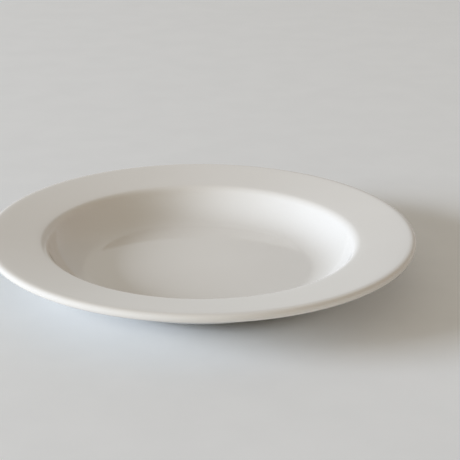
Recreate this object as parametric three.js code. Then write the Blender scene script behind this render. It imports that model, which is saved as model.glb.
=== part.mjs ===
// A round dinette plate in glazed ceramic: a wide, gently rising rim around a dished well,
// standing on a foot ring of bare clay.
//
// The clay is one turned and fired piece. Two coats of glaze lie on it, parted by the foot
// ring, which is wiped clean so that the plate does not stick to the kiln shelf. One coat runs
// from the well over the lip to the outside of the foot. The other fills the recess inside it.
//
// Millimetres, +Z up. The origin is the centre of the foot's bearing face, on the table.

import * as THREE from "three";

// Rim and well, measured on the clay unless the line says otherwise
const PLATE_DIAMETER = 193; // across the lip, over the glaze
const WELL_DIAMETER = 140; // across the edge where the rim turns down into the well
const WELL_DEPTH = 13.8; // from that edge down to the floor
const WELL_FLOOR_DIAMETER = 98.4; // across the flat of the floor
const WELL_WALL_ANGLE = 64; // degrees from level, where the wall meets the rim
const WELL_EDGE_ROUNDING = 2.4; // setback of the rounding at the well's edge
const RIM_RISE = 4.1; // from the well's edge up to the lip
const LIP_THICKNESS = 3.1;
const LIP_SHOULDER = 3; // setback along the rim of the rounding over the lip
const LIP_DROP = 1.6; // setback of that rounding down the lip's outer side
const LIP_BAND = 0.2; // upright band below that rounding; the rest of the thickness is rounded under

// Walls and back
const FLOOR_THICKNESS = 3.2;
const WALL_THICKNESS = 3.5; // of the well's wall, and of the rim where it leaves the well
const BACK_CORNER_ROUNDING = 3; // setback of the rounding where the back of the well meets the rim

// Foot ring
const FOOT_DIAMETER = 98; // across its outer side, at the table
const FOOT_WIDTH = 4.2;
const FOOT_RECESS = 2.8; // height of the recess inside the ring
const FOOT_DRAFT = 0.5; // how far each side of the ring leans out to the root
const FOOT_EDGE_ROUNDING = 0.5;
const FOOT_ROOT_ROUNDING = 0.6;

// Glaze
const GLAZE_THICKNESS = 0.35;
const GLAZE_BOND = 0.01; // clearance between the glaze and the clay
const WIPED_HEIGHT = 1; // of bare clay on the sides of the foot ring

// Facets
const TURN_SEGMENTS = 64;
const LONG_CURVE_STEPS = 7;
const SHORT_CURVE_STEPS = 3;

const point = (radius, height) => new THREE.Vector2(radius, height);
const along = (start, direction, distance) => start.clone().addScaledVector(direction, distance);
const direction = (from, to) => to.clone().sub(from).normalize();

// Where the line through p along u meets the line through q along v.
function crossing(p, u, q, v) {
  const distance = q.clone().sub(p).cross(v) / u.cross(v);
  return along(p, u, distance);
}

const straight = (from, to) => ({ curve: new THREE.LineCurve(from, to), steps: 1 });

// A rounded corner between two straight runs that would meet at the corner point.
const rounding = (from, corner, to) => ({
  curve: new THREE.QuadraticBezierCurve(from, corner, to),
  steps: SHORT_CURVE_STEPS,
});

// A long, nearly circular sweep whose end tangents meet at the corner point.
const SWEEP_HANDLE = 0.66;
const sweep = (from, corner, to) => ({
  curve: new THREE.CubicBezierCurve(
    from,
    from.clone().lerp(corner, SWEEP_HANDLE),
    to.clone().lerp(corner, SWEEP_HANDLE),
    to,
  ),
  steps: LONG_CURVE_STEPS,
});

function trace(runs) {
  const points = [runs[0].curve.getPoint(0)];
  for (const { curve, steps } of runs) points.push(...curve.getPoints(steps).slice(1));
  return points;
}

// Heights of the clay, stacked up from the table, and its main radii
const floorHeight = FOOT_RECESS + FLOOR_THICKNESS;
const wellEdgeHeight = floorHeight + WELL_DEPTH;
const lipHeight = wellEdgeHeight + RIM_RISE;
const lipRadius = PLATE_DIAMETER / 2 - GLAZE_THICKNESS;
const wellRadius = WELL_DIAMETER / 2;
const footOuterRadius = FOOT_DIAMETER / 2;
const footInnerRadius = footOuterRadius - FOOT_WIDTH;

// Roundings of the foot ring, within the bare and the glazed part of its sides
const footEdgeRounding = Math.min(FOOT_EDGE_ROUNDING, WIPED_HEIGHT / 2);
const footRootRounding = Math.min(FOOT_ROOT_ROUNDING, (FOOT_RECESS - WIPED_HEIGHT) / 2);

// Points on the leaning sides of the foot ring, at a height above the table.
function onFootOuterSide(height) {
  return point(footOuterRadius + (FOOT_DRAFT * height) / FOOT_RECESS, height);
}
function onFootInnerSide(height) {
  return point(footInnerRadius - (FOOT_DRAFT * height) / FOOT_RECESS, height);
}

// From the middle of the well's floor, up its wall and out along the rim, over the lip,
// and back under the rim to the line on the foot's outer side where the glaze is wiped off.
function faceOutline() {
  const wallAngle = THREE.MathUtils.degToRad(WELL_WALL_ANGLE);
  const upWall = point(Math.cos(wallAngle), Math.sin(wallAngle));
  const outOfWall = point(upWall.y, -upWall.x);
  const level = point(1, 0);

  const middle = point(0, floorHeight);
  const floorEdge = point(WELL_FLOOR_DIAMETER / 2, floorHeight);
  const wellEdge = point(wellRadius, wellEdgeHeight);
  const lipTop = point(lipRadius, lipHeight);
  const outRim = direction(wellEdge, lipTop);
  const lipUnder = point(lipRadius, lipHeight - LIP_THICKNESS);
  const underWellEdge = point(wellRadius, wellEdgeHeight - WALL_THICKNESS);
  const inRim = direction(lipUnder, underWellEdge);

  const wallBack = along(wellEdge, outOfWall, WALL_THICKNESS);
  const backCorner = crossing(wallBack, upWall, lipUnder, inRim);
  const footRoot = point(footOuterRadius + FOOT_DRAFT, FOOT_RECESS);
  const backSweepCorner = crossing(wallBack, upWall, footRoot, level);
  const wipedLine = onFootOuterSide(WIPED_HEIGHT);

  const wallTop = along(wellEdge, upWall, -WELL_EDGE_ROUNDING);
  const rimStart = along(wellEdge, outRim, WELL_EDGE_ROUNDING);
  const rimEnd = along(lipTop, outRim, -LIP_SHOULDER);
  const lipUpper = point(lipRadius, lipHeight - LIP_DROP);
  const lipLower = point(lipRadius, lipUpper.y - LIP_BAND);
  const underStart = along(lipUnder, inRim, lipLower.y - lipUnder.y);
  const underEnd = along(backCorner, inRim, -BACK_CORNER_ROUNDING);
  const backTop = along(backCorner, upWall, -BACK_CORNER_ROUNDING);
  const backEnd = along(footRoot, level, footRootRounding);
  const sideTop = onFootOuterSide(FOOT_RECESS - footRootRounding);

  return trace([
    straight(middle, floorEdge),
    sweep(floorEdge, crossing(floorEdge, level, wellEdge, upWall), wallTop),
    rounding(wallTop, wellEdge, rimStart),
    straight(rimStart, rimEnd),
    rounding(rimEnd, lipTop, lipUpper),
    straight(lipUpper, lipLower),
    rounding(lipLower, lipUnder, underStart),
    straight(underStart, underEnd),
    rounding(underEnd, backCorner, backTop),
    sweep(backTop, backSweepCorner, backEnd),
    rounding(backEnd, footRoot, sideTop),
    straight(sideTop, wipedLine),
  ]);
}

// The bare bearing face of the foot, between the two wiped lines.
function footOutline() {
  const outerCorner = point(footOuterRadius, 0);
  const innerCorner = point(footInnerRadius, 0);
  const bearingStart = point(footOuterRadius - footEdgeRounding, 0);
  const bearingEnd = point(footInnerRadius + footEdgeRounding, 0);
  const outerSideEnd = onFootOuterSide(footEdgeRounding);
  const innerSideStart = onFootInnerSide(footEdgeRounding);
  return trace([
    straight(onFootOuterSide(WIPED_HEIGHT), outerSideEnd),
    rounding(outerSideEnd, outerCorner, bearingStart),
    straight(bearingStart, bearingEnd),
    rounding(bearingEnd, innerCorner, innerSideStart),
    straight(innerSideStart, onFootInnerSide(WIPED_HEIGHT)),
  ]);
}

// From the wiped line on the foot's inner side, across the recess to the middle.
function recessOutline() {
  const root = point(footInnerRadius - FOOT_DRAFT, FOOT_RECESS);
  const sideTop = onFootInnerSide(FOOT_RECESS - footRootRounding);
  const ceilingStart = point(root.x - footRootRounding, FOOT_RECESS);
  return trace([
    straight(onFootInnerSide(WIPED_HEIGHT), sideTop),
    rounding(sideTop, root, ceilingStart),
    straight(ceilingStart, point(0, FOOT_RECESS)),
  ]);
}

// An outline moved out of the clay, square to itself, by the same distance all along.
function moveOut(outline, distance) {
  const outward = (from, to) => {
    const run = direction(from, to);
    return point(-run.y, run.x);
  };
  return outline.map((here, i) => {
    const before = outward(outline[Math.max(i - 1, 0)], outline[Math.max(i, 1)]);
    const last = outline.length - 1;
    const after = outward(outline[Math.min(i, last - 1)], outline[Math.min(i + 1, last)]);
    return along(here, before.clone().add(after), distance / (1 + before.dot(after)));
  });
}

// A coat of glaze over an outline of the clay that starts or ends on the plate's axis.
function coatOutline(outline) {
  const top = moveOut(outline, GLAZE_THICKNESS);
  const bottom = moveOut(outline, GLAZE_BOND).toReversed();
  return outline[0].x === 0 ? [...top, ...bottom] : [...bottom, ...top];
}

// A named piece turned from its outline about the plate's upright axis.
function turnedPiece(name, outline, material) {
  const geometry = new THREE.LatheGeometry(outline.toReversed(), TURN_SEGMENTS);
  geometry.rotateX(Math.PI / 2);
  const piece = new THREE.Mesh(geometry, material);
  piece.name = name;
  return piece;
}

const bareClay = new THREE.MeshStandardMaterial({ color: 0xe3dacb, roughness: 0.85, metalness: 0 });
const whiteGlaze = new THREE.MeshStandardMaterial({ color: 0xeeece7, roughness: 0.12, metalness: 0 });

const face = faceOutline();
const foot = footOutline();
const recess = recessOutline();

const plate = new THREE.Group();
plate.add(
  turnedPiece("clay_body", [...face, ...foot.slice(1), ...recess.slice(1)], bareClay),
  turnedPiece("face_glaze", coatOutline(face), whiteGlaze),
  turnedPiece("foot_recess_glaze", coatOutline(recess), whiteGlaze),
);

export default plate;
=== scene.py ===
import math

import bpy
from mathutils import Matrix, Vector


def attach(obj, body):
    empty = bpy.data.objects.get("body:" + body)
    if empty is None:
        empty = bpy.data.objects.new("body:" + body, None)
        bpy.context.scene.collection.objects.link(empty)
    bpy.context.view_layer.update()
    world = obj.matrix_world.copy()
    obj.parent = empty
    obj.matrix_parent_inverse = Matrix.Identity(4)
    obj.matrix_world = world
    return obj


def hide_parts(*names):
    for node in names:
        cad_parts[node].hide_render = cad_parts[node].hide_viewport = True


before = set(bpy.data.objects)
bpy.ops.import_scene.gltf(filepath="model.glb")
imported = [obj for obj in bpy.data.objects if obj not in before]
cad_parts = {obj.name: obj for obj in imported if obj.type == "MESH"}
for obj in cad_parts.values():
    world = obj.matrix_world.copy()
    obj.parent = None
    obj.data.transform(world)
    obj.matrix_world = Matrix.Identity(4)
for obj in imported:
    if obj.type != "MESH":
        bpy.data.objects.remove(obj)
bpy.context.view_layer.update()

# Clay body
# One round of pale stoneware, pressed on a spinning mould, trimmed at the foot and fired.
# It shows only on the foot ring, which is wiped clean of glaze to keep it off the kiln shelf.

MM = 0.001

PLATE_DIAMETER = 193 * MM
WELL_DIAMETER = 140 * MM
WELL_DEPTH = 13.8 * MM
WELL_FLOOR_DIAMETER = 98.4 * MM
WELL_WALL_ANGLE = math.radians(64)
WELL_EDGE_ROUNDING = 2.4 * MM
RIM_RISE = 4.1 * MM
LIP_THICKNESS = 3.1 * MM
LIP_SHOULDER = 3 * MM
LIP_DROP = 1.6 * MM
LIP_BAND = 0.2 * MM
FLOOR_THICKNESS = 3.2 * MM
WALL_THICKNESS = 3.5 * MM
BACK_CORNER_ROUNDING = 3 * MM
FOOT_DIAMETER = 98 * MM
FOOT_WIDTH = 4.2 * MM
FOOT_RECESS = 2.8 * MM
FOOT_DRAFT = 0.5 * MM
FOOT_EDGE_ROUNDING = 0.5 * MM
FOOT_ROOT_ROUNDING = 0.6 * MM
GLAZE_THICKNESS = 0.35 * MM
WIPED_HEIGHT = 1 * MM

FLAT_STEPS = 10
GLAZED_SIDE_STEPS = 14
BARE_SIDE_STEPS = 4
BEARING_STEPS = 6
TURN_SEGMENTS = 256
WELD_DISTANCE = 0.001 * MM

CLAY_PALE = (0.79, 0.73, 0.64, 1)
CLAY_DARK = (0.66, 0.58, 0.47, 1)
CLAY_GRIT = (0.40, 0.31, 0.23, 1)


def point(radius, height):
    return Vector((radius, height))


def crossing(p, u, q, v):
    """Where the line through p along u meets the line through q along v."""
    return p + u * ((q - p).cross(v) / u.cross(v))


def straight(start, end, steps=8):
    return [start.lerp(end, i / steps) for i in range(1, steps + 1)]


def rounding(start, corner, end, steps=8):
    """A rounded corner between two straight runs that would meet at the corner."""
    curve = []
    for i in range(1, steps + 1):
        t = i / steps
        curve.append(start.lerp(corner, t).lerp(corner.lerp(end, t), t))
    return curve


def sweep(start, corner, end, steps=28, handle=0.66):
    """A long, nearly circular curve whose end tangents meet at the corner."""
    a = start.lerp(corner, handle)
    b = end.lerp(corner, handle)
    curve = []
    for i in range(1, steps + 1):
        t = i / steps
        early = start.lerp(a, t).lerp(a.lerp(b, t), t)
        late = a.lerp(b, t).lerp(b.lerp(end, t), t)
        curve.append(early.lerp(late, t))
    return curve


floor_height = FOOT_RECESS + FLOOR_THICKNESS
well_edge_height = floor_height + WELL_DEPTH
lip_height = well_edge_height + RIM_RISE
lip_radius = PLATE_DIAMETER / 2 - GLAZE_THICKNESS
well_radius = WELL_DIAMETER / 2
foot_outer_radius = FOOT_DIAMETER / 2
foot_inner_radius = foot_outer_radius - FOOT_WIDTH


def on_foot_outer_side(height):
    return point(foot_outer_radius + FOOT_DRAFT * height / FOOT_RECESS, height)


def on_foot_inner_side(height):
    return point(foot_inner_radius - FOOT_DRAFT * height / FOOT_RECESS, height)


def face_outline():
    """From the middle of the well over the rim and lip to the wiped line outside the foot."""
    level = point(1, 0)
    up_wall = point(math.cos(WELL_WALL_ANGLE), math.sin(WELL_WALL_ANGLE))
    out_of_wall = point(up_wall.y, -up_wall.x)
    middle = point(0, floor_height)
    floor_edge = point(WELL_FLOOR_DIAMETER / 2, floor_height)
    well_edge = point(well_radius, well_edge_height)
    lip_top = point(lip_radius, lip_height)
    out_rim = (lip_top - well_edge).normalized()
    lip_under = point(lip_radius, lip_height - LIP_THICKNESS)
    under_well_edge = point(well_radius, well_edge_height - WALL_THICKNESS)
    in_rim = (under_well_edge - lip_under).normalized()
    wall_back = well_edge + out_of_wall * WALL_THICKNESS
    back_corner = crossing(wall_back, up_wall, lip_under, in_rim)
    foot_root = point(foot_outer_radius + FOOT_DRAFT, FOOT_RECESS)
    back_sweep_corner = crossing(wall_back, up_wall, foot_root, level)
    floor_corner = crossing(floor_edge, level, well_edge, up_wall)

    wall_top = well_edge - up_wall * WELL_EDGE_ROUNDING
    rim_start = well_edge + out_rim * WELL_EDGE_ROUNDING
    rim_end = lip_top - out_rim * LIP_SHOULDER
    lip_upper = point(lip_radius, lip_height - LIP_DROP)
    lip_lower = point(lip_radius, lip_upper.y - LIP_BAND)
    under_start = lip_under + in_rim * (lip_lower.y - lip_under.y)
    under_end = back_corner - in_rim * BACK_CORNER_ROUNDING
    back_top = back_corner - up_wall * BACK_CORNER_ROUNDING
    back_end = foot_root + level * FOOT_ROOT_ROUNDING
    side_top = on_foot_outer_side(FOOT_RECESS - FOOT_ROOT_ROUNDING)

    outline = [middle]
    outline += straight(middle, floor_edge, FLAT_STEPS)
    outline += sweep(floor_edge, floor_corner, wall_top)
    outline += rounding(wall_top, well_edge, rim_start)
    outline += straight(rim_start, rim_end)
    outline += rounding(rim_end, lip_top, lip_upper)
    outline += straight(lip_upper, lip_lower, 1)
    outline += rounding(lip_lower, lip_under, under_start)
    outline += straight(under_start, under_end)
    outline += rounding(under_end, back_corner, back_top)
    outline += sweep(back_top, back_sweep_corner, back_end)
    outline += rounding(back_end, foot_root, side_top)
    outline += straight(side_top, on_foot_outer_side(WIPED_HEIGHT), GLAZED_SIDE_STEPS)
    return outline


def foot_outline():
    """The bare ring that stands on the table, between its two wiped lines."""
    outer_corner = point(foot_outer_radius, 0)
    inner_corner = point(foot_inner_radius, 0)
    bearing_start = point(foot_outer_radius - FOOT_EDGE_ROUNDING, 0)
    bearing_end = point(foot_inner_radius + FOOT_EDGE_ROUNDING, 0)
    outer_side_end = on_foot_outer_side(FOOT_EDGE_ROUNDING)
    inner_side_start = on_foot_inner_side(FOOT_EDGE_ROUNDING)
    outline = straight(on_foot_outer_side(WIPED_HEIGHT), outer_side_end, BARE_SIDE_STEPS)
    outline += rounding(outer_side_end, outer_corner, bearing_start)
    outline += straight(bearing_start, bearing_end, BEARING_STEPS)
    outline += rounding(bearing_end, inner_corner, inner_side_start)
    outline += straight(inner_side_start, on_foot_inner_side(WIPED_HEIGHT), BARE_SIDE_STEPS)
    return outline


def recess_outline():
    """From the wiped line inside the foot, across the recess to the middle."""
    wiped_line = on_foot_inner_side(WIPED_HEIGHT)
    root = point(foot_inner_radius - FOOT_DRAFT, FOOT_RECESS)
    side_top = on_foot_inner_side(FOOT_RECESS - FOOT_ROOT_ROUNDING)
    ceiling_start = point(root.x - FOOT_ROOT_ROUNDING, FOOT_RECESS)
    outline = [wiped_line]
    outline += straight(wiped_line, side_top, GLAZED_SIDE_STEPS)
    outline += rounding(side_top, root, ceiling_start)
    outline += straight(ceiling_start, point(0, FOOT_RECESS), FLAT_STEPS)
    return outline


def distances_along(outline):
    """How far along the outline each of its points lies."""
    distances = [0.0]
    for start, end in zip(outline, outline[1:]):
        distances.append(distances[-1] + (end - start).length)
    return distances


def hollows(outline, reach=1.2 * MM, tightest=3.3 * MM):
    """How hollow each point is: 0 on a sharp edge, 0.5 where it is flat, 1 in a tight corner."""
    along = distances_along(outline)
    turns = [0.0] * len(outline)
    for i in range(1, len(outline) - 1):
        before = (outline[i] - outline[i - 1]).normalized()
        after = (outline[i + 1] - outline[i]).normalized()
        turns[i] = math.asin(max(-1, min(1, before.cross(after))))
    values = []
    for here in along:
        nearness = [math.exp(-((here - there) / reach) ** 2) for there in along]
        bend = sum(turn * near for turn, near in zip(turns, nearness))
        values.append(0.5 + 0.5 * math.tanh(bend * tightest / (reach * math.sqrt(math.pi))))
    return values


def place(tree, kind, inputs=None, **settings):
    """Adds a node to a tree. Each input is a plain value or the output that feeds it."""
    node = tree.nodes.new(kind)
    for name, value in settings.items():
        setattr(node, name, value)
    for name, value in (inputs or {}).items():
        if isinstance(value, bpy.types.NodeSocket):
            tree.links.new(value, node.inputs[name])
        else:
            node.inputs[name].default_value = value
    return node


def turning_tree():
    """A lathe: turns a chain of edges, drawn as radius and height, about the upright axis."""
    tree = bpy.data.node_groups.new("turning", "GeometryNodeTree")
    kinds = {"Outline": "Geometry", "Segments": "Int", "Weld": "Float", "Finish": "Material"}
    for name, kind in kinds.items():
        tree.interface.new_socket(name, in_out="INPUT", socket_type="NodeSocket" + kind)
    tree.interface.new_socket("Piece", in_out="OUTPUT", socket_type="NodeSocketGeometry")
    given = tree.nodes.new("NodeGroupInput").outputs
    size = place(tree, "GeometryNodeAttributeDomainSize", {"Geometry": given["Outline"]})
    count = size.outputs["Point Count"]
    index = tree.nodes.new("GeometryNodeInputIndex").outputs["Index"]
    row = place(tree, "FunctionNodeIntegerMath", {0: index, 1: count}, operation="MODULO")
    step = place(tree, "FunctionNodeIntegerMath", {0: index, 1: count}, operation="DIVIDE_FLOOR")
    columns = place(tree, "FunctionNodeIntegerMath", {0: given["Segments"], 1: 1}, operation="ADD")
    sheet = place(
        tree, "GeometryNodeMeshGrid", {"Vertices X": columns.outputs[0], "Vertices Y": count},
    )

    position = tree.nodes.new("GeometryNodeInputPosition").outputs["Position"]
    drawn = place(
        tree, "GeometryNodeSampleIndex",
        {"Geometry": given["Outline"], "Value": position, "Index": row.outputs[0]},
        data_type="FLOAT_VECTOR",
    )
    share = place(
        tree, "ShaderNodeMath", {0: step.outputs[0], 1: given["Segments"]}, operation="DIVIDE",
    )
    angle = place(tree, "ShaderNodeMath", {0: share.outputs[0], 1: -math.tau}, operation="MULTIPLY")
    turned = place(
        tree, "ShaderNodeVectorRotate",
        {"Vector": drawn.outputs[0], "Angle": angle.outputs[0]}, rotation_type="Z_AXIS",
    )
    shaped = place(
        tree, "GeometryNodeSetPosition",
        {"Geometry": sheet.outputs["Mesh"], "Position": turned.outputs[0]},
    )

    hollow = place(tree, "GeometryNodeInputNamedAttribute", {"Name": "hollow"}, data_type="FLOAT")
    hollow_here = place(
        tree, "GeometryNodeSampleIndex",
        {"Geometry": given["Outline"], "Value": hollow.outputs[0], "Index": row.outputs[0]},
        data_type="FLOAT",
    )
    marked = place(
        tree, "GeometryNodeStoreNamedAttribute",
        {"Geometry": shaped.outputs[0], "Name": "hollow", "Value": hollow_here.outputs[0]},
        data_type="FLOAT", domain="POINT",
    )
    closed = place(
        tree, "GeometryNodeMergeByDistance",
        {"Geometry": marked.outputs[0], "Distance": given["Weld"]},
    )
    smooth = place(tree, "GeometryNodeSetShadeSmooth", {"Geometry": closed.outputs[0]})
    plain = place(tree, "GeometryNodeRealizeInstances", {"Geometry": smooth.outputs[0]})
    finished = place(
        tree, "GeometryNodeSetMaterial",
        {"Geometry": plain.outputs[0], "Material": given["Finish"]},
    )
    place(tree, "NodeGroupOutput", {"Piece": finished.outputs[0]})
    return tree


turning = turning_tree()


def turned_piece(name, outline, finish):
    """A piece turned from an outline, with its mesh made plain."""
    chain = bpy.data.meshes.new(name + "_outline")
    edges = [(i, i + 1) for i in range(len(outline) - 1)]
    chain.from_pydata([(p.x, 0, p.y) for p in outline], edges, [])
    chain.attributes.new("hollow", "FLOAT", "POINT").data.foreach_set("value", hollows(outline))
    piece = bpy.data.objects.new(name, chain)
    bpy.context.scene.collection.objects.link(piece)
    lathe = piece.modifiers.new("lathe", "NODES")
    lathe.node_group = turning
    settings = {"Segments": TURN_SEGMENTS, "Weld": WELD_DISTANCE, "Finish": finish}
    for socket in turning.interface.items_tree:
        if socket.name in settings:
            lathe[socket.identifier] = settings[socket.name]
    evaluated = piece.evaluated_get(bpy.context.evaluated_depsgraph_get())
    mesh = bpy.data.meshes.new_from_object(evaluated)
    piece.modifiers.remove(lathe)
    piece.data = mesh
    mesh.name = name
    bpy.data.meshes.remove(chain)
    return piece


def kiln_mottle_group():
    """What the firing leaves in clay and glaze alike: broad clouds of tone, and a fine grain."""
    group = bpy.data.node_groups.new("kiln_mottle", "ShaderNodeTree")
    for name in ("Clouds per metre", "Grains per metre"):
        group.interface.new_socket(name, in_out="INPUT", socket_type="NodeSocketFloat")
    for name in ("Cloud", "Grain"):
        group.interface.new_socket(name, in_out="OUTPUT", socket_type="NodeSocketFloat")
    given = group.nodes.new("NodeGroupInput").outputs
    where = group.nodes.new("ShaderNodeTexCoord").outputs["Object"]
    cloud = place(
        group, "ShaderNodeTexNoise",
        {"Vector": where, "Scale": given["Clouds per metre"], "Detail": 3, "Roughness": 0.5},
    )
    grain = place(
        group, "ShaderNodeTexNoise",
        {"Vector": where, "Scale": given["Grains per metre"], "Detail": 2, "Roughness": 0.55},
    )
    place(group, "NodeGroupOutput", {"Cloud": cloud.outputs[0], "Grain": grain.outputs[0]})
    return group


kiln_mottle = kiln_mottle_group()


def new_finish(name):
    """A new material, with its node tree and its shader."""
    finish = bpy.data.materials.new(name)
    finish.use_nodes = True
    return finish, finish.node_tree, finish.node_tree.nodes["Principled BSDF"]


def mixed(tree, amount, first, second, blend="MIX"):
    """A mix of two colours, each a colour or the output that gives it."""
    node = place(
        tree, "ShaderNodeMix", {0: amount, 6: first, 7: second},
        data_type="RGBA", blend_type=blend,
    )
    return node.outputs[2]


def ranged(tree, value, low_in, high_in, low_out, high_out):
    """A value carried from one range to another, and held at its ends."""
    node = place(
        tree, "ShaderNodeMapRange",
        {"Value": value, 1: low_in, 2: high_in, 3: low_out, 4: high_out},
    )
    return node.outputs[0]


def mottle(tree, clouds, grains):
    """The clouds and the grain for one material, each by how many lie along a metre."""
    node = place(
        tree, "ShaderNodeGroup",
        {"Clouds per metre": clouds, "Grains per metre": grains}, node_tree=kiln_mottle,
    )
    return node.outputs["Cloud"], node.outputs["Grain"]


def bare_clay_finish():
    """Pale clay with darker clouds and fine dark grit, worn paler on its edges."""
    finish, tree, shader = new_finish("bare_clay")
    cloud, grain = mottle(tree, clouds=70, grains=2600)
    tone = mixed(tree, ranged(tree, cloud, 0.35, 0.65, 0, 0.6), CLAY_PALE, CLAY_DARK)
    gritty = mixed(tree, ranged(tree, grain, 0.6, 0.72, 0, 0.55), tone, CLAY_GRIT)
    hollow = place(tree, "ShaderNodeAttribute", attribute_name="hollow").outputs["Fac"]
    worn = mixed(tree, ranged(tree, hollow, 0.05, 0.4, 0.35, 0), gritty, CLAY_PALE)
    tree.links.new(worn, shader.inputs["Base Color"])
    tree.links.new(ranged(tree, grain, 0.3, 0.7, 0.8, 0.96), shader.inputs["Roughness"])
    tooth = place(tree, "ShaderNodeBump", {"Strength": 0.6, "Distance": 0.06 * MM, "Height": grain})
    tree.links.new(tooth.outputs[0], shader.inputs["Normal"])
    shader.inputs["Specular IOR Level"].default_value = 0.25
    return finish


face = face_outline()
foot = foot_outline()
recess = recess_outline()

clay = turned_piece("turned_clay", face + foot + recess[1:], bare_clay_finish())
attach(clay, "root")
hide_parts("clay_body")

# Face glaze
# A poured coat of white glaze, fired to a hard gloss. It runs from the well over the rim and
# lip and down the back, thins a little over the edges, and ends outside the foot in a melted bead.

GLAZE_BOND = 0.01 * MM
BEAD_LENGTH = 0.3 * MM
BEAD_SWELL = 1.2
GLAZE_IOR = 1.52
SPECK_CELLS_PER_METRE = 120

GLAZE_WHITE = (0.82, 0.81, 0.785, 1)
GLAZE_THIN = (0.805, 0.785, 0.745, 1)
GLAZE_POOLED = (0.81, 0.808, 0.79, 1)
GLAZE_CLOUD = (0.80, 0.788, 0.76, 1)
GLAZE_SPECK = (0.55, 0.45, 0.34, 1)


def glaze_thickness(from_wiped_line):
    """Full over most of the plate, a little swollen and then rounded off at the wiped line."""
    if from_wiped_line < BEAD_LENGTH:
        fall = 1 - from_wiped_line / BEAD_LENGTH
        full = BEAD_SWELL * GLAZE_THICKNESS - GLAZE_BOND
        return GLAZE_BOND + full * math.sqrt(1 - fall * fall)
    t = min((from_wiped_line - BEAD_LENGTH) / (2 * BEAD_LENGTH), 1)
    eased = t * t * (3 - 2 * t)
    return GLAZE_THICKNESS * (BEAD_SWELL + (1 - BEAD_SWELL) * eased)


def moved_out(outline, distances):
    """An outline moved out of the clay, square to itself, by its own distance at each point."""
    def outward(start, end):
        run = (end - start).normalized()
        return point(-run.y, run.x)

    last = len(outline) - 1
    moved = []
    for i, (here, distance) in enumerate(zip(outline, distances)):
        before = outward(outline[max(i - 1, 0)], outline[max(i, 1)])
        after = outward(outline[min(i, last - 1)], outline[min(i + 1, last)])
        moved.append(here + (before + after) * (distance / (1 + before.dot(after))))
    return moved


def coat_outline(outline):
    """A closed coat over an outline of the clay that starts or ends on the plate's axis."""
    starts_on_axis = outline[0].x == 0
    along = distances_along(outline)
    wiped_line = along[-1] if starts_on_axis else 0
    thicknesses = [glaze_thickness(abs(wiped_line - here)) for here in along]
    top = moved_out(outline, thicknesses)
    bottom = moved_out(outline, [GLAZE_BOND] * len(outline))[::-1]
    return top + bottom if starts_on_axis else bottom + top


def white_glaze_finish():
    """White gloss that thins over edges and pools in hollows, with faint clouds and specks."""
    finish, tree, shader = new_finish("white_glaze")
    cloud, grain = mottle(tree, clouds=28, grains=420)
    hollow = place(tree, "ShaderNodeAttribute", attribute_name="hollow").outputs["Fac"]
    broken = mixed(tree, ranged(tree, hollow, 0.05, 0.35, 1, 0), GLAZE_WHITE, GLAZE_THIN)
    pooled = mixed(tree, ranged(tree, hollow, 0.55, 0.95, 0, 1), broken, GLAZE_POOLED)
    clouded = mixed(tree, ranged(tree, cloud, 0.4, 0.75, 0, 0.8), pooled, GLAZE_CLOUD)

    where = tree.nodes.new("ShaderNodeTexCoord").outputs["Object"]
    cells = place(
        tree, "ShaderNodeTexVoronoi",
        {"Vector": where, "Scale": SPECK_CELLS_PER_METRE, "Randomness": 1},
    )
    chosen = place(tree, "ShaderNodeSeparateColor", {0: cells.outputs["Color"]}).outputs[0]
    near = ranged(tree, cells.outputs["Distance"], 0.015, 0.04, 1, 0)
    few = ranged(tree, chosen, 0.8, 1, 0, 0.3)
    speck = place(tree, "ShaderNodeMath", {0: near, 1: few}, operation="MULTIPLY").outputs[0]
    specked = mixed(tree, speck, clouded, GLAZE_SPECK)
    tree.links.new(specked, shader.inputs["Base Color"])

    tree.links.new(ranged(tree, cloud, 0.3, 0.7, 0.045, 0.075), shader.inputs["Roughness"])
    peel = place(tree, "ShaderNodeBump", {"Strength": 0.15, "Distance": 0.02 * MM, "Height": grain})
    tree.links.new(peel.outputs[0], shader.inputs["Normal"])
    shader.inputs["IOR"].default_value = GLAZE_IOR
    return finish


white_glaze = white_glaze_finish()

face_coat = turned_piece("poured_face_glaze", coat_outline(face), white_glaze)
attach(face_coat, "root")
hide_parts("face_glaze")

# Foot recess glaze
# The same white glaze, brushed into the shallow recess inside the foot ring. It covers the
# underside of the floor and ends a little way down the inner side of the ring in its own bead.

recess_coat = turned_piece("brushed_recess_glaze", coat_outline(recess), white_glaze)
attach(recess_coat, "root")
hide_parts("foot_recess_glaze")

# Floor
# A plain pale sheet of matt card, wide enough to fill the view, that the plate stands on.

FLOOR_SIDE = 12.0
FLOOR_PALE = (0.893, 0.916, 0.932, 1)
FLOOR_SHADE = (0.877, 0.90, 0.916, 1)


def card_finish():
    """Matt pale card, very faintly clouded."""
    finish, tree, shader = new_finish("pale_card")
    cloud, _ = mottle(tree, clouds=40, grains=900)
    tone = mixed(tree, ranged(tree, cloud, 0.35, 0.65, 0, 1), FLOOR_PALE, FLOOR_SHADE)
    tree.links.new(tone, shader.inputs["Base Color"])
    shader.inputs["Roughness"].default_value = 1
    shader.inputs["Specular IOR Level"].default_value = 0.1
    return finish


card = bpy.data.meshes.new("pale_card")
half = FLOOR_SIDE / 2
corners = [(-half, -half, 0), (half, -half, 0), (half, half, 0), (-half, half, 0)]
card.from_pydata(corners, [], [(0, 1, 2, 3)])
card.materials.append(card_finish())
floor = bpy.data.objects.new("pale_card", card)
bpy.context.scene.collection.objects.link(floor)

# Light
# One broad lamp, low at the left, rakes across the plate. A soft sky fills the rest: pale in front
# and behind, dim at the sides, with a dimmer patch low behind that the floor of the well mirrors.

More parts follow.
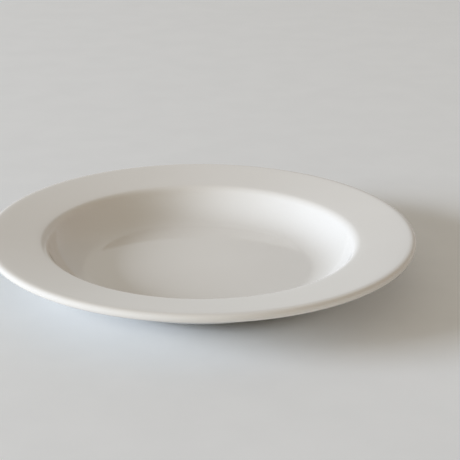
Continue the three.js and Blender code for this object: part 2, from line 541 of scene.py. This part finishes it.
KEY_AZIMUTH = math.radians(193)
KEY_ELEVATION = math.radians(16.5)
KEY_DISTANCE = 5.0
KEY_WIDTH = 2.4
KEY_HEIGHT = 1.2
KEY_COLOUR = (0.89, 0.964, 1.082)
SKY_BACK = (0.79, 0.81, 0.80, 1)
SKY_FRONT = (0.82, 0.76, 0.62, 1)
SKY_LEFT = (0.11, 0.105, 0.105, 1)
SKY_RIGHT = (0.225, 0.12, 0.085, 1)
SKY_ZENITH = (0.40, 0.358, 0.298, 1)
SKY_DIM = (0.44, 0.44, 0.435, 1)
DIM_AZIMUTH = math.radians(71.5)
DIM_ELEVATION = math.radians(20.5)
DIM_RADIUS = 0.24
DIM_FADE = 0.06


def towards(azimuth, elevation):
    """The way to a place round the plate, counted from the right and up from level."""
    level = math.cos(elevation)
    return Vector((math.cos(azimuth) * level, math.sin(azimuth) * level, math.sin(elevation)))


lamp = bpy.data.lights.new("key", "AREA")
lamp.shape = "RECTANGLE"
lamp.size = KEY_WIDTH
lamp.size_y = KEY_HEIGHT
lamp.color = KEY_COLOUR
lamp.energy = math.pi ** 2 * KEY_DISTANCE ** 2  # shows a white card that faces it as white
key = bpy.data.objects.new("key", lamp)
towards_key = towards(KEY_AZIMUTH, KEY_ELEVATION)
key.location = towards_key * KEY_DISTANCE
key.rotation_euler = towards_key.to_track_quat("Z", "Y").to_euler()
key.visible_camera = False
key.visible_glossy = False
bpy.context.scene.collection.objects.link(key)

sky = bpy.data.worlds.new("sky")
sky.use_nodes = True
sky_tree = sky.node_tree
look = sky_tree.nodes.new("ShaderNodeTexCoord").outputs["Generated"]
rise = place(sky_tree, "ShaderNodeSeparateXYZ", {0: look}).outputs["Z"]
level_look = place(sky_tree, "ShaderNodeVectorMath", {0: look, 1: (1, 1, 0)}, operation="MULTIPLY")
bearing = place(sky_tree, "ShaderNodeVectorMath", {0: level_look.outputs[0]}, operation="NORMALIZE")
sides = place(sky_tree, "ShaderNodeSeparateXYZ", {0: bearing.outputs[0]})


def either_side(along, minus, plus):
    """The colour of the sky on one side or the other of the plate."""
    ahead = place(sky_tree, "ShaderNodeMath", {0: along, 1: 0}, operation="GREATER_THAN").outputs[0]
    return mixed(sky_tree, ahead, minus, plus)


depth = sides.outputs["Y"]
share = place(sky_tree, "ShaderNodeMath", {0: depth, 1: depth}, operation="MULTIPLY").outputs[0]
across = either_side(sides.outputs["X"], SKY_LEFT, SKY_RIGHT)
horizon = mixed(sky_tree, share, across, either_side(depth, SKY_FRONT, SKY_BACK))
open_sky = mixed(sky_tree, ranged(sky_tree, rise, 0, 1, 0, 1), horizon, SKY_ZENITH)
dim_part = tuple(towards(DIM_AZIMUTH, DIM_ELEVATION))
off_dim = place(sky_tree, "ShaderNodeVectorMath", {0: look, 1: dim_part}, operation="DISTANCE")
dimness = ranged(sky_tree, off_dim.outputs["Value"], DIM_RADIUS, DIM_RADIUS + DIM_FADE, 1, 0)
sky_colour = mixed(sky_tree, dimness, open_sky, SKY_DIM)
sky_tree.links.new(sky_colour, sky_tree.nodes["Background"].inputs["Color"])
bpy.context.scene.world = sky
bpy.context.scene.view_settings.view_transform = "Standard"

# Camera
# Stands in front of the plate, a quarter of a metre above the table, and looks down on it with
# a long lens.

CAMERA_AIM_HEIGHT = 24.05 * MM
CAMERA_DISTANCE = 0.650
CAMERA_ELEVATION = math.radians(20.533)
CAMERA_PITCH = math.radians(20.58464)
CAMERA_HEADING = math.radians(1.2236)
CAMERA_ROLL = math.radians(0.55988)
SENSOR_WIDTH = 36
FRAME_WIDTH_IN_PIXELS = 460
FOCAL_LENGTH_IN_PIXELS = 1439.5

view = bpy.data.cameras.new("view")
view.sensor_width = SENSOR_WIDTH
view.lens = SENSOR_WIDTH * FOCAL_LENGTH_IN_PIXELS / FRAME_WIDTH_IN_PIXELS
camera = bpy.data.objects.new("view", view)
aim = Vector((0, 0, CAMERA_AIM_HEIGHT))
back = Vector((0, -math.cos(CAMERA_ELEVATION), math.sin(CAMERA_ELEVATION)))
turn = Matrix.Rotation(-CAMERA_HEADING, 4, "Z")
tilt = Matrix.Rotation(math.radians(90) - CAMERA_PITCH, 4, "X")
lean = Matrix.Rotation(CAMERA_ROLL, 4, "Z")
camera.matrix_world = Matrix.Translation(aim + back * CAMERA_DISTANCE) @ turn @ tilt @ lean
bpy.context.scene.collection.objects.link(camera)
bpy.context.scene.camera = camera
